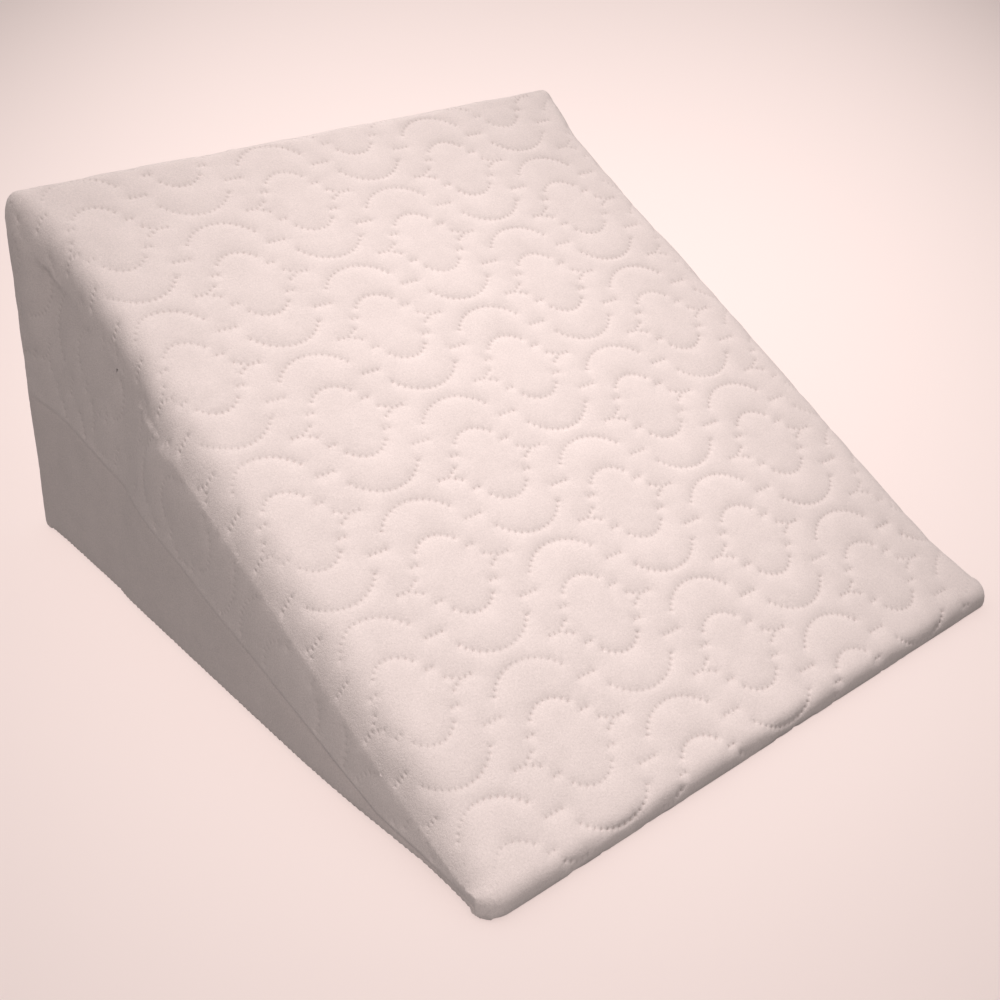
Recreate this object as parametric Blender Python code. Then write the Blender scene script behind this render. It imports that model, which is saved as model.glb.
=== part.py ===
"""Wedge pillow: a foam wedge in a closely fitted cover with a quilted slope, thin at the front, high at the back.

Metres, +Z up. The thin edge faces -Y, the high back faces +Y, and the origin is the middle of the base.
"""

import math

import bmesh
import bpy
from mathutils import Vector
from mathutils.geometry import delaunay_2d_cdt

MM = 0.001

# Driving dimensions, taken where the flat faces would meet before their edges are rounded
DEPTH = 612 * MM
WIDTH = 596 * MM
BACK_HEIGHT = 318.5 * MM
LIP_HEIGHT = 18 * MM

# Corners of the section, in the order in which the cover runs round it:
# rounding of the cover there, and of the side panel's own outline
CORNERS = (
    # name, cover radius, side panel radius, steps round the corner
    ("base front", 3.0 * MM, 1.5 * MM, 1),
    ("lip", 10.0 * MM, 4.0 * MM, 3),
    ("back top", 12.0 * MM, 8.0 * MM, 4),
    ("base back", 4.0 * MM, 2.0 * MM, 1),
)

# Runs between those corners: how far the side panel's seam lies in from each face, how wide the soft
# edge is across, and the number of steps along the run
RUNS = (
    # name, seam inset, soft edge across, steps
    ("lip", 14.0 * MM, 16.0 * MM, 1),
    ("slope", 18.0 * MM, 18.0 * MM, 42),
    ("back", 11.0 * MM, 11.0 * MM, 18),
    ("base", 3.5 * MM, 3.5 * MM, 1),
)

# The soft edge of the slope is tighter at the thin front and reaches its full width by here
FRONT_INSET = 9.0 * MM
SOFTEN_LENGTH = 120 * MM

# Steps across the flat of the edges between those runs, and round each soft edge
FLAT_COLUMNS = 36
EDGE_STEPS = 3

QUILTED_PANELS = ("slope", "back")

# Side panels: how far they stand proud in the middle, and the rings that shape them towards a hub
SIDE_CROWN = 2.0 * MM
SIDE_RINGS = (0.10, 0.34, 0.68)
SIDE_HUB = Vector((0.18 * DEPTH, 0.34 * BACK_HEIGHT))

# Quilting: medallions in columns, each column half a row out of step with the next
COLUMN_PITCH = 89.9 * MM
ROW_PITCH = 152.1 * MM
PATTERN_TURN = math.radians(-1.35)
ANCHOR_ACROSS = -69.5 * MM
ANCHOR_UP = 294.7 * MM
QUILT_DEPTH = 4.0 * MM
QUILT_REACH = 6.5 * MM

# Arcs of weld marks above and below a medallion's middle
ARCS = (
    # name, height of the crest, radius, half angle in degrees
    ("medallion", 35.5 * MM, 23.5 * MM, 51.5),
    ("outer arc", 69.5 * MM, 39.6 * MM, 54.0),
)

# Straight runs of weld marks, mirrored to all four quarters of a medallion
DASHES = (
    # name, from across, from up, to across, to up
    ("shoulder", 23.5 * MM, 16.5 * MM, 28.5 * MM, 16.5 * MM),
    ("ear", 32.8 * MM, 5.8 * MM, 42.3 * MM, 0.0 * MM),
    ("stem", 42.3 * MM, 0.0 * MM, 52.1 * MM, 0.0 * MM),
    ("dash", 37.8 * MM, 38.0 * MM, 52.1 * MM, 38.0 * MM),
)

# Points of the quilted panels: along a weld, beside it, and over the puffed cloth between
WELD_STEP = 10.0 * MM
SHOULDER_OFFSET = 6.5 * MM
FILL_STEP = 15.0 * MM
PANEL_MARGIN = 5.0 * MM
WELD_GAP = 3.0 * MM
SHOULDER_CLEAR = 5.0 * MM
SHOULDER_GAP = 7.5 * MM
FILL_GAP = 10.0 * MM
MERGE_LENGTH = 0.001 * MM

CLOTH_COLOUR = (0.78, 0.69, 0.66, 1.0)
CLOTH_ROUGHNESS = 0.92


class PointField:
    """Flat points that keep a chosen distance from each other."""

    def __init__(self):
        self.points = []
        self.cells = {}

    def cell(self, point):
        return int(point[0] // FILL_STEP), int(point[1] // FILL_STEP)

    def nearest(self, point, gap):
        """Index of the nearest point closer than the gap, or None."""
        column, row = self.cell(point)
        found = None
        for x in (column - 1, column, column + 1):
            for y in (row - 1, row, row + 1):
                for index in self.cells.get((x, y), ()):
                    away = math.dist(point, self.points[index])
                    if away < gap:
                        gap = away
                        found = index
        return found

    def add(self, point):
        self.points.append(point)
        self.cells.setdefault(self.cell(point), []).append(len(self.points) - 1)
        return len(self.points) - 1


def clear_scene():
    """Remove every object that the scene starts with."""
    for old in list(bpy.data.objects):
        bpy.data.objects.remove(old, do_unlink=True)


def smooth(value):
    """Ease from 0 to 1 with level ends."""
    value = min(max(value, 0.0), 1.0)
    return value * value * (3.0 - 2.0 * value)


def cover_corners():
    """The section's corners, front base first, going up the lip, up the slope and down the back."""
    half = DEPTH / 2
    return [
        Vector((-half, 0.0)),
        Vector((-half, LIP_HEIGHT)),
        Vector((half, BACK_HEIGHT)),
        Vector((half, 0.0)),
    ]


def slope_angle():
    """Angle of the slope above the floor."""
    return math.atan2(BACK_HEIGHT - LIP_HEIGHT, DEPTH)


def seam_corners():
    """Corners of the side panel's outline, drawn in from the cover's own section."""
    lip_inset, slope_inset, back_inset, base_inset = [row[1] for row in RUNS]
    rise = math.tan(slope_angle())
    lean = 1.0 / math.cos(slope_angle())
    front = -DEPTH / 2 + lip_inset
    back = DEPTH / 2 - back_inset
    front_top = LIP_HEIGHT + lip_inset * rise - FRONT_INSET * lean
    back_top = BACK_HEIGHT - back_inset * rise - slope_inset * lean
    return [
        Vector((front, base_inset)),
        Vector((front, front_top)),
        Vector((back, back_top)),
        Vector((back, base_inset)),
    ]


def round_corner(before, corner, after, radius, steps):
    """Points of the arc that rounds one corner, both of its ends included."""
    into = (corner - before).normalized()
    out = (after - corner).normalized()
    turn = into.angle(out)
    reach = radius * math.tan(turn / 2)
    start = corner - into * reach
    # The section turns clockwise, so the arc's middle lies to the right of its way
    middle = start + Vector((into.y, -into.x)) * radius
    points = []
    for step in range(steps + 1):
        angle = -turn * step / steps
        arm = start - middle
        points.append(middle + Vector((
            arm.x * math.cos(angle) - arm.y * math.sin(angle),
            arm.x * math.sin(angle) + arm.y * math.cos(angle),
        )))
    return points


def outline(corners, radius_column):
    """A closed outline with rounded corners, and for each point its run and its share of that run."""
    points = []
    marks = []
    count = len(corners)
    arcs = []
    for index, row in enumerate(CORNERS):
        before = corners[(index - 1) % count]
        after = corners[(index + 1) % count]
        arcs.append(round_corner(before, corners[index], after, row[radius_column], row[3]))
    for index, run in enumerate(RUNS):
        arc = arcs[index]
        following = arcs[(index + 1) % count]
        for step, point in enumerate(arc):
            points.append(point)
            marks.append((index, 0.0, step / (len(arc) - 1)))
        for step in range(1, run[3]):
            share = step / run[3]
            points.append(arc[-1].lerp(following[0], share))
            marks.append((index, share, 1.0))
    return points, marks


def widen_seam(points, marks):
    """Let the slope's soft edge grow quickly from its tight front to its full width."""
    lip_inset, slope_inset = RUNS[0][1], RUNS[1][1]
    angle = slope_angle()
    inward = Vector((math.sin(angle), -math.cos(angle)))
    length = (cover_corners()[2] - cover_corners()[1]).length
    widened = []
    for point, (run, share, turned) in zip(points, marks):
        moved = point.copy()
        if RUNS[run][0] == "slope" and share > 0.0:
            linear = FRONT_INSET + (slope_inset - FRONT_INSET) * share
            wanted = FRONT_INSET + (slope_inset - FRONT_INSET) * smooth(share * length / SOFTEN_LENGTH)
            moved += inward * (wanted - linear)
        widened.append(moved)
    return widened


def edge_width(mark):
    """How far the soft edge reaches across at one station of the section."""
    run, share, turned = mark
    own = RUNS[run][2]
    before = RUNS[run - 1][2]
    return before + (own - before) * smooth(turned)


def arc_lengths(points, marks):
    """Distance along the cover to each station, from where the slope would meet the lip."""
    lengths = [0.0]
    for first, second in zip(points, points[1:]):
        lengths.append(lengths[-1] + (second - first).length)
    start = panel_stations(marks, "slope")[0]
    zero = lengths[start] - (points[start] - cover_corners()[1]).length
    return [length - zero for length in lengths]


def panel_stations(marks, name):
    """First and last station of a flat panel, both on its border."""
    inside = [index for index, mark in enumerate(marks) if RUNS[mark[0]][0] == name and mark[1] > 0.0]
    return inside[0] - 1, inside[-1] + 1


def to_segment(x, y, x0, y0, x1, y1):
    """Nearest point on a straight run of weld marks."""
    dx, dy = x1 - x0, y1 - y0
    share = ((x - x0) * dx + (y - y0) * dy) / (dx * dx + dy * dy)
    share = min(max(share, 0.0), 1.0)
    return x0 + dx * share, y0 + dy * share


def to_arc(x, y, crest, radius, half_angle):
    """Nearest point on an arc of weld marks that bulges upwards."""
    middle = crest - radius
    angle = math.atan2(x, y - middle)
    angle = min(max(angle, -half_angle), half_angle)
    return radius * math.sin(angle), middle + radius * math.cos(angle)


def to_pattern(across, up):
    """A place on the cover in the pattern's own axes."""
    cos, sin = math.cos(PATTERN_TURN), math.sin(PATTERN_TURN)
    dx, dy = across - ANCHOR_ACROSS, up - ANCHOR_UP
    return dx * cos + dy * sin, -dx * sin + dy * cos


def from_pattern(x, y):
    """A place in the pattern's own axes, on the cover."""
    cos, sin = math.cos(PATTERN_TURN), math.sin(PATTERN_TURN)
    return ANCHOR_ACROSS + x * cos - y * sin, ANCHOR_UP + x * sin + y * cos


def medallion_middle(column, row):
    """Middle of one medallion in the pattern's own axes."""
    return column * COLUMN_PITCH, (row + 0.5 * (column % 2)) * ROW_PITCH


def weld_gap(across, up):
    """Distance on the cover to the nearest weld."""
    x, y = to_pattern(across, up)
    best = COLUMN_PITCH
    first = math.floor(x / COLUMN_PITCH)
    for column in (first, first + 1):
        lowest = math.floor(y / ROW_PITCH - 0.5 * (column % 2))
        for row in (lowest, lowest + 1):
            middle = medallion_middle(column, row)
            own_x, own_y = abs(x - middle[0]), abs(y - middle[1])
            near = [to_arc(own_x, own_y, crest, radius, math.radians(half))
                    for name, crest, radius, half in ARCS]
            near += [to_segment(own_x, own_y, *ends) for name, *ends in DASHES]
            best = min([best] + [math.dist((own_x, own_y), place) for place in near])
    return best


def draw_in(across, up, height):
    """How far the quilting draws the cover in, less near the floor, where the cover is pulled tight."""
    hold = smooth(height / LIP_HEIGHT)
    return QUILT_DEPTH * hold * math.exp(-weld_gap(across, up) / QUILT_REACH)


def medallion_paths():
    """Rows of weld marks round one medallion, as points in the pattern's own axes."""
    paths = []
    for name, crest, radius, half in ARCS:
        half_angle = math.radians(half)
        steps = round(2 * half_angle * radius / WELD_STEP)
        angles = [half_angle * (2 * step / steps - 1) for step in range(steps + 1)]
        for turn in (1, -1):
            paths.append([(radius * math.sin(a), turn * (crest - radius + radius * math.cos(a)))
                          for a in angles])
    for name, x0, y0, x1, y1 in DASHES:
        for side in (1, -1):
            for turn in (1, -1):
                paths.append([(side * x0, turn * y0), (side * x1, turn * y1)])
    return paths


def lattice_paths(half_width, low, high):
    """Rows of weld marks that can reach a panel, on the cover."""
    reach_columns = math.ceil(half_width * 2 / COLUMN_PITCH)
    reach_rows = math.ceil(max(abs(low - ANCHOR_UP), abs(high - ANCHOR_UP)) / ROW_PITCH) + 1
    paths = []
    for column in range(-reach_columns, reach_columns + 1):
        for row in range(-reach_rows, reach_rows + 1):
            x, y = medallion_middle(column, row)
            for path in medallion_paths():
                paths.append([from_pattern(x + px, y + py) for px, py in path])
    return paths


def beside(path):
    """Points on both sides of a row of weld marks."""
    points = []
    for (x0, y0), (x1, y1) in zip(path, path[1:]):
        length = math.dist((x0, y0), (x1, y1))
        out_x, out_y = (y1 - y0) / length * SHOULDER_OFFSET, (x0 - x1) / length * SHOULDER_OFFSET
        middle_x, middle_y = (x0 + x1) / 2, (y0 + y1) / 2
        points.append((middle_x + out_x, middle_y + out_y))
        points.append((middle_x - out_x, middle_y - out_y))
    return points


def fill_places(half_width, low, high):
    """Places in staggered rows over a panel."""
    rows = math.ceil((high - low) / FILL_STEP)
    columns = math.ceil(2 * half_width / FILL_STEP)
    return [(-half_width + (column + 0.5 * (row % 2)) * FILL_STEP, low + row * FILL_STEP)
            for row in range(rows) for column in range(columns)]


def panel_points(border, half_width, low, high):
    """Points and weld edges of one quilted panel, after the points of its border."""
    def inside(point):
        sideways = abs(point[0]) < half_width - PANEL_MARGIN
        return sideways and low + PANEL_MARGIN < point[1] < high - PANEL_MARGIN

    field = PointField()
    for point in border:
        field.add(point)
    paths = lattice_paths(half_width, low, high)
    edges = set()
    for path in paths:
        last = None
        for point in path:
            if not inside(point):
                last = None
                continue
            index = field.nearest(point, WELD_GAP)
            if index is None:
                index = field.add(point)
            if last is not None and last != index:
                edges.add((min(last, index), max(last, index)))
            last = index
    for path in paths:
        for point in beside(path):
            if inside(point) and field.nearest(point, SHOULDER_GAP) is None:
                if weld_gap(*point) > SHOULDER_CLEAR:
                    field.add(point)
    for point in fill_places(half_width, low, high):
        if inside(point) and field.nearest(point, FILL_GAP) is None:
            field.add(point)
    return field.points, sorted(edges)


def across_stations():
    """Stations from the left seam to the right one: side, share across the flat, turn of the soft edge."""
    stations = []
    for step in range(EDGE_STEPS):
        stations.append((-1, 1.0, math.pi / 2 * (1 - step / EDGE_STEPS)))
    for step in range(FLAT_COLUMNS + 1):
        share = 2 * step / FLAT_COLUMNS - 1
        stations.append((1 if share > 0 else -1, abs(share), 0.0))
    for step in range(1, EDGE_STEPS + 1):
        stations.append((1, 1.0, math.pi / 2 * step / EDGE_STEPS))
    return stations


def shape_cover(bm, cover, seam, marks, lengths):
    """Rings of the cover from the left seam to the right one, left open over the slope and the back."""
    open_stations = set()
    for name in QUILTED_PANELS:
        first, last = panel_stations(marks, name)
        open_stations.update(range(first + 1, last))
    rings = []
    edge_points = []
    for side, share, turn in across_stations():
        ring = []
        for index, mark in enumerate(marks):
            if share < 1.0 and index in open_stations:
                ring.append(None)
                continue
            width = edge_width(mark)
            flat = WIDTH / 2 - width
            x = side * (flat * share + width * math.sin(turn))
            point = seam[index] + (cover[index] - seam[index]) * math.cos(turn)
            vert = bm.verts.new((x, point.x, point.y))
            ring.append(vert)
            if RUNS[mark[0]][0] != "base":
                across = side * (flat * share + width * turn)
                fade = 1.0 - smooth(turn / (math.pi / 2))
                edge_points.append((vert, across, lengths[index], fade))
        rings.append(ring)
    join_rings(bm, rings)
    return rings, edge_points


def join_rings(bm, rings):
    """Skin between neighbouring closed rings, left open where a ring has no point."""
    for first, second in zip(rings, rings[1:]):
        for index in range(len(first)):
            after = (index + 1) % len(first)
            corners = (first[index], first[after], second[after], second[index])
            if None not in corners:
                bm.faces.new(corners)


def fill_panel(bm, rings, cover, marks, lengths, name):
    """Skin of one quilted panel, whose points follow the welds."""
    first, last = panel_stations(marks, name)
    columns = rings[EDGE_STEPS:EDGE_STEPS + FLAT_COLUMNS + 1]
    rim = [(column[first], lengths[first]) for column in columns]
    rim += [(columns[-1][index], lengths[index]) for index in range(first + 1, last)]
    rim += [(column[last], lengths[last]) for column in reversed(columns)]
    rim += [(columns[0][index], lengths[index]) for index in range(last - 1, first, -1)]
    border = [(vert.co.x, up) for vert, up in rim]
    half_width = border[FLAT_COLUMNS][0]
    points, edges = panel_points(border, half_width, lengths[first], lengths[last])
    loop = list(range(len(border)))
    flat, _, faces, sources, _, _ = delaunay_2d_cdt(
        [Vector(point) for point in points], edges, [loop], 1, MERGE_LENGTH)

    start, end = cover[first], cover[last]
    way = (end - start).normalized()
    outward = Vector((0, -way.y, way.x))
    verts = []
    for place, source in zip(flat, sources):
        if source and source[0] < len(rim):
            verts.append(rim[source[0]][0])
            continue
        on_face = start + way * (place.y - lengths[first])
        depth = draw_in(place.x, place.y, on_face.y)
        verts.append(bm.verts.new(Vector((place.x, on_face.x, on_face.y)) - outward * depth))
    for face in faces:
        bm.faces.new([verts[index] for index in face])


def close_side(bm, seam_ring, side):
    """Side panel: rings from the seam in towards a hub, standing slightly proud, and a flat middle."""
    hub = Vector((side * WIDTH / 2, SIDE_HUB.x, SIDE_HUB.y))
    rings = [seam_ring]
    for share in SIDE_RINGS:
        proud = SIDE_CROWN * math.sin(share * math.pi / 2 / SIDE_RINGS[-1])
        ring = []
        for vert in seam_ring:
            place = vert.co.lerp(hub, share)
            place.x += side * proud
            ring.append(bm.verts.new(place))
        rings.append(ring)
    join_rings(bm, rings)
    bm.faces.new(rings[-1])


def press_edges(edge_points):
    """Draw the lip and the rounded edges in along the welds that run over them."""
    for vert, across, up, fade in edge_points:
        vert.co -= vert.normal * draw_in(across, up, vert.co.z) * fade


def cloth_material():
    """Off-white brushed cloth."""
    material = bpy.data.materials.new("quilted_cloth")
    material.use_nodes = True
    shader = material.node_tree.nodes["Principled BSDF"]
    shader.inputs["Base Color"].default_value = CLOTH_COLOUR
    shader.inputs["Roughness"].default_value = CLOTH_ROUGHNESS
    shader.inputs["Metallic"].default_value = 0.0
    return material


def make_pillow(collection):
    """The whole pillow as one filled solid."""
    cover, marks = outline(cover_corners(), 1)
    seam = widen_seam(outline(seam_corners(), 2)[0], marks)
    lengths = arc_lengths(cover, marks)
    bm = bmesh.new()
    rings, edge_points = shape_cover(bm, cover, seam, marks, lengths)
    for name in QUILTED_PANELS:
        fill_panel(bm, rings, cover, marks, lengths, name)
    close_side(bm, rings[0], -1)
    close_side(bm, rings[-1], 1)
    bmesh.ops.recalc_face_normals(bm, faces=bm.faces)
    bm.normal_update()
    press_edges(edge_points)
    mesh = bpy.data.meshes.new("wedge_pillow")
    bm.to_mesh(mesh)
    bm.free()
    mesh.shade_smooth()
    mesh.materials.append(cloth_material())
    collection.objects.link(bpy.data.objects.new("wedge_pillow", mesh))


def main():
    clear_scene()
    collection = bpy.data.collections.new("wedge_pillow_parts")
    bpy.context.scene.collection.children.link(collection)
    make_pillow(collection)


main()
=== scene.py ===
"""Looks of the wedge pillow: quilted cover, plain sides and base, studio floor, lights and camera.

Metres, +Z up. The thin edge faces -Y and the high back faces +Y. Laid out as an add-on and run as a script.
"""

import math

import bmesh
import bpy
import numpy as np
from bpy.props import FloatProperty, FloatVectorProperty, PointerProperty
from mathutils import Matrix, Vector
from mathutils.geometry import delaunay_2d_cdt


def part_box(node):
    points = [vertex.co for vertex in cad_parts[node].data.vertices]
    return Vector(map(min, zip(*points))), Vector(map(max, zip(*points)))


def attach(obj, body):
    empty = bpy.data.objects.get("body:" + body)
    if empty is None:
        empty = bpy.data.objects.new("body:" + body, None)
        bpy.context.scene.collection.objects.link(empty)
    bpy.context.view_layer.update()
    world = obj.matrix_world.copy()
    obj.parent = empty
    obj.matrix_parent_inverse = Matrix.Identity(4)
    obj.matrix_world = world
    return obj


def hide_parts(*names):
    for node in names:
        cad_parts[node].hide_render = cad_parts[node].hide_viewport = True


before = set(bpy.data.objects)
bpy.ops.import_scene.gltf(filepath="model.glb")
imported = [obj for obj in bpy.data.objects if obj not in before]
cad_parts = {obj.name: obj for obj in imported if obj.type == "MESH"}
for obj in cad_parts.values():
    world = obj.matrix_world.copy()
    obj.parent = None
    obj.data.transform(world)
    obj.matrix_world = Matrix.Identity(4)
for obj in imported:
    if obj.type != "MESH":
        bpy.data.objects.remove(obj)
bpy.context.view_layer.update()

bl_info = {
    "name": "Wedge Pillow",
    "version": (1, 0, 0),
    "blender": (4, 5, 0),
    "location": "View3D > Sidebar > Pillow",
    "description": "Makes a quilted foam wedge pillow and a plain studio round it",
    "category": "Add Mesh",
}

MM = 0.001
NODE = "wedge_pillow"
NODE_LOW, NODE_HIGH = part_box(NODE)
SEED = 11

# Corners of the section, front base first, up the slope and down the back
CORNERS = (
    # name, cover radius, side panel radius, steps
    ("base front", 4.5 * MM, 1.5 * MM, 6),
    ("lip", 15.0 * MM, 4.0 * MM, 12),
    ("back top", 9.0 * MM, 6.0 * MM, 12),
    ("base back", 4.0 * MM, 2.0 * MM, 5),
)

# Runs between those corners
RUNS = (
    # name, inset of the line where the cloth lies against the side, steps
    ("lip", 14.0 * MM, 4),
    ("slope", 20.0 * MM, 80),
    ("back", 11.0 * MM, 30),
    ("base", 3.5 * MM, 1),
)
FRONT_INSET = 9.0 * MM
SLOPE_INSETS = (
    # up the slope, inset
    (0 * MM, 9 * MM),
    (30 * MM, 18 * MM),
    (70 * MM, 24 * MM),
    (120 * MM, 27 * MM),
    (430 * MM, 26 * MM),
    (490 * MM, 31 * MM),
    (600 * MM, 31 * MM),
    (668 * MM, 20 * MM),
)

# How the cloth turns down over the side edges, at stations up the cloth
TURNS = (
    # up the cloth, where the turn starts, its reach, its power, its last angle in degrees
    (-30 * MM, 281 * MM, 12 * MM, 1.5, 88),
    (6 * MM, 269 * MM, 20 * MM, 1.4, 84),
    (70 * MM, 254 * MM, 31 * MM, 1.3, 80),
    (420 * MM, 257 * MM, 30 * MM, 1.3, 78),
    (485 * MM, 252.5 * MM, 28 * MM, 2.0, 88),
    (610 * MM, 254 * MM, 28 * MM, 2.1, 88),
    (655 * MM, 275 * MM, 17 * MM, 1.7, 87),
    (690 * MM, 291 * MM, 7 * MM, 1.5, 88),
    (1000 * MM, 291 * MM, 7 * MM, 1.5, 88),
)
TURN_STEPS = 32
EDGE_CLOTH = 310 * MM
EDGE_SQUEEZE = 0.87
RIGHT_SHIFT = 6 * MM
ROW_DRIFT = 0.25
LEFT_CORNER = 8 * MM
RIGHT_CORNER = 16 * MM
EDGE_CALM = 0.45

# Line where the quilted cloth meets the plain cloth on a side, from the front and above the floor
SEAM_LINE = ((0, 6), (60, 9), (115, 14), (196, 40), (276, 63), (360, 88), (424, 106), (472, 116), (540, 130), (620, 138))
LIP_SEAM = 5 * MM

# Arcs of weld marks above and below a medallion's middle
ARCS = (
    # name, height of the crest, radius, half angle in degrees, marks
    ("medallion", 35.5 * MM, 23.5 * MM, 51.5, 9),
    ("outer arc", 69.5 * MM, 39.6 * MM, 54.0, 15),
)

# Straight runs of weld marks, mirrored to all four quarters of a medallion
DASHES = (
    # name, from across, from up, to across, to up, marks
    ("shoulder", 23.5 * MM, 16.5 * MM, 28.5 * MM, 16.5 * MM, 2),
    ("ear", 32.8 * MM, 5.8 * MM, 37.6 * MM, 2.9 * MM, 2),
    ("stem", 42.3 * MM, 0.0 * MM, 52.1 * MM, 0.0 * MM, 3),
    ("dash", 37.8 * MM, 38.0 * MM, 52.1 * MM, 38.0 * MM, 4),
)

# Rings of points round one weld mark
PIT_RINGS = (
    # points, half length across the row, half width along it
    (5, 1.40 * MM, 0.60 * MM),
    (8, 2.70 * MM, 1.25 * MM),
)
TILE_SHIFT = 2.8 * MM
BORDER_ROWS = 34
BORDER_COLUMNS = 20
FILL_STEP = 4.6 * MM
FILL_GAP = 3.2 * MM
BORDER_GAP = 0.5 * MM
THIN_AREA = 0.12 * MM * MM
SIDE_CLOTH = 215 * MM


def smooth(value):
    """Ease from 0 to 1 with level ends, on numbers or arrays."""
    value = np.clip(value, 0.0, 1.0)
    return value * value * (3.0 - 2.0 * value)


def deselect():
    """Leave nothing selected, so that an operator acts on its own piece alone."""
    for thing in bpy.context.selected_objects:
        thing.select_set(False)


def waves(across, up, length, seed, count=7):
    """Soft unevenness between -1 and 1, made of a few crossing waves."""
    rng = np.random.default_rng(seed)
    total = np.zeros_like(across)
    for _ in range(count):
        turn = rng.uniform(0, 2 * math.pi)
        pitch = length * rng.uniform(0.7, 1.5)
        phase = rng.uniform(0, 2 * math.pi)
        total += np.sin((across * math.cos(turn) + up * math.sin(turn)) * 2 * math.pi / pitch + phase)
    return total / count * 1.6


class Section:
    """The pillow's side outline and how the cloth folds over it."""

    def __init__(self, sizes):
        self.half_width = (NODE_HIGH.x - NODE_LOW.x) / 2
        self.depth = NODE_HIGH.y - NODE_LOW.y
        self.back = sizes.back_height
        self.lip = sizes.lip_height
        self.angle = math.atan2(self.back - self.lip, self.depth)
        self.along = np.array((math.cos(self.angle), math.sin(self.angle)))
        self.inward = np.array((math.sin(self.angle), -math.cos(self.angle)))
        self.corner = np.array((-self.depth / 2, self.lip))
        self.slope_length = math.hypot(self.depth, self.back - self.lip)
        cover, marks = self.outline(self.cover_corners(), 1)
        seam = self.widen(self.outline(self.seam_corners(), 2)[0], marks)
        lengths = np.concatenate([[0.0], np.cumsum(np.linalg.norm(np.diff(cover, axis=0), axis=1))])
        first = next(i for i, mark in enumerate(marks) if mark[0] == 1 and mark[1] > 0.0) - 1
        zero = lengths[first] - np.linalg.norm(cover[first] - self.cover_corners()[1])
        self.cover = cover
        self.seam = seam
        self.lengths = lengths - zero

    def cover_corners(self):
        half = self.depth / 2
        return [np.array(p) for p in ((-half, 0.0), (-half, self.lip), (half, self.back), (half, 0.0))]

    def seam_corners(self):
        lip_inset, slope_inset, back_inset, base_inset = [row[1] for row in RUNS]
        rise, lean = math.tan(self.angle), 1.0 / math.cos(self.angle)
        front = -self.depth / 2 + lip_inset
        back = self.depth / 2 - back_inset
        front_top = self.lip + lip_inset * rise - FRONT_INSET * lean
        back_top = self.back - back_inset * rise - slope_inset * lean
        return [np.array(p) for p in ((front, base_inset), (front, front_top),
                                      (back, back_top), (back, base_inset))]

    def round_corner(self, before, corner, after, radius, steps):
        into = (corner - before) / np.linalg.norm(corner - before)
        out = (after - corner) / np.linalg.norm(after - corner)
        turn = math.acos(float(into @ out))
        start = corner - into * radius * math.tan(turn / 2)
        middle = start + np.array((into[1], -into[0])) * radius
        arm = start - middle
        points = []
        for step in range(steps + 1):
            cos, sin = math.cos(-turn * step / steps), math.sin(-turn * step / steps)
            points.append(middle + np.array((arm[0] * cos - arm[1] * sin, arm[0] * sin + arm[1] * cos)))
        return points

    def outline(self, corners, radius_column):
        count = len(corners)
        arcs = [self.round_corner(corners[i - 1], corners[i], corners[(i + 1) % count], row[radius_column], row[3])
                for i, row in enumerate(CORNERS)]
        points, marks = [], []
        for index, run in enumerate(RUNS[:-1]):
            arc, following = arcs[index], arcs[index + 1]
            for point in arc:
                points.append(point)
                marks.append((index, 0.0))
            for step in range(1, run[2]):
                share = step / run[2]
                points.append(arc[-1] * (1 - share) + following[0] * share)
                marks.append((index, share))
        for point in arcs[-1]:
            points.append(point)
            marks.append((len(RUNS) - 1, 0.0))
        return np.array(points), marks

    def widen(self, points, marks):
        ups, insets = zip(*SLOPE_INSETS)
        widened = points.copy()
        for index, (run, share) in enumerate(marks):
            if RUNS[run][0] == "slope" and share > 0.0:
                up = (points[index] - self.corner) @ self.along
                own = (points[index] - self.corner) @ self.inward
                wanted = np.interp(up, ups, insets)
                widened[index] += self.inward * (wanted - own)
        return widened

    def turn_values(self, up):
        stations = np.array(TURNS)
        return [np.interp(up, stations[:, 0], stations[:, k]) for k in range(1, 5)]

    def turned(self, across, up):
        """Distance out, share of the inset and angle of cloth that turns over the edge."""
        start, reach, power, last = self.turn_values(up)
        whole_shift = np.where(across > 0, RIGHT_SHIFT, 0.0)
        shift = whole_shift * smooth((self.slope_length + 10 * MM - up) / (70 * MM))
        limit = EDGE_CLOTH + whole_shift - shift - start
        beyond = np.clip(np.abs(across) - start - shift, 0.0, limit) * EDGE_SQUEEZE
        steps = (np.arange(TURN_STEPS) + 0.5)[:, None] / TURN_STEPS

        def bend(way):
            return np.radians(last) * (1 - np.exp(-(way / reach) ** power))

        angles = bend(beyond * steps)
        full = bend(limit * EDGE_SQUEEZE * steps)
        out = np.where(beyond > 0, start + shift + beyond * np.cos(angles).mean(0), np.abs(across))
        drop = beyond * np.sin(angles).mean(0)
        whole = limit * EDGE_SQUEEZE * np.sin(full).mean(0)
        return out, drop / whole, bend(beyond)

    def row_drift(self, up, inset):
        """How far the rows have slipped towards the front where the cloth lies against the side."""
        hold = smooth(up / (90 * MM)) * smooth((self.slope_length - up) / (60 * MM))
        return ROW_DRIFT * np.maximum(inset - 4 * MM, 0.0) * hold

    def fold(self, across, up):
        """Places in space of points on the flat cloth, up to where it lies against the sides."""
        cover = np.stack([np.interp(up, self.lengths, self.cover[:, k]) for k in (0, 1)], 1)
        seam = np.stack([np.interp(up, self.lengths, self.seam[:, k]) for k in (0, 1)], 1)
        out, share, _ = self.turned(across, up)
        inset = np.linalg.norm(seam - cover, axis=1) * share
        side = cover + (seam - cover) * share[:, None] - self.along * self.row_drift(up, inset)[:, None]
        return np.column_stack([np.sign(across) * out, side])

    def slope_inset(self, up):
        ups, insets = zip(*SLOPE_INSETS)
        return np.interp(up, ups, insets)

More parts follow.
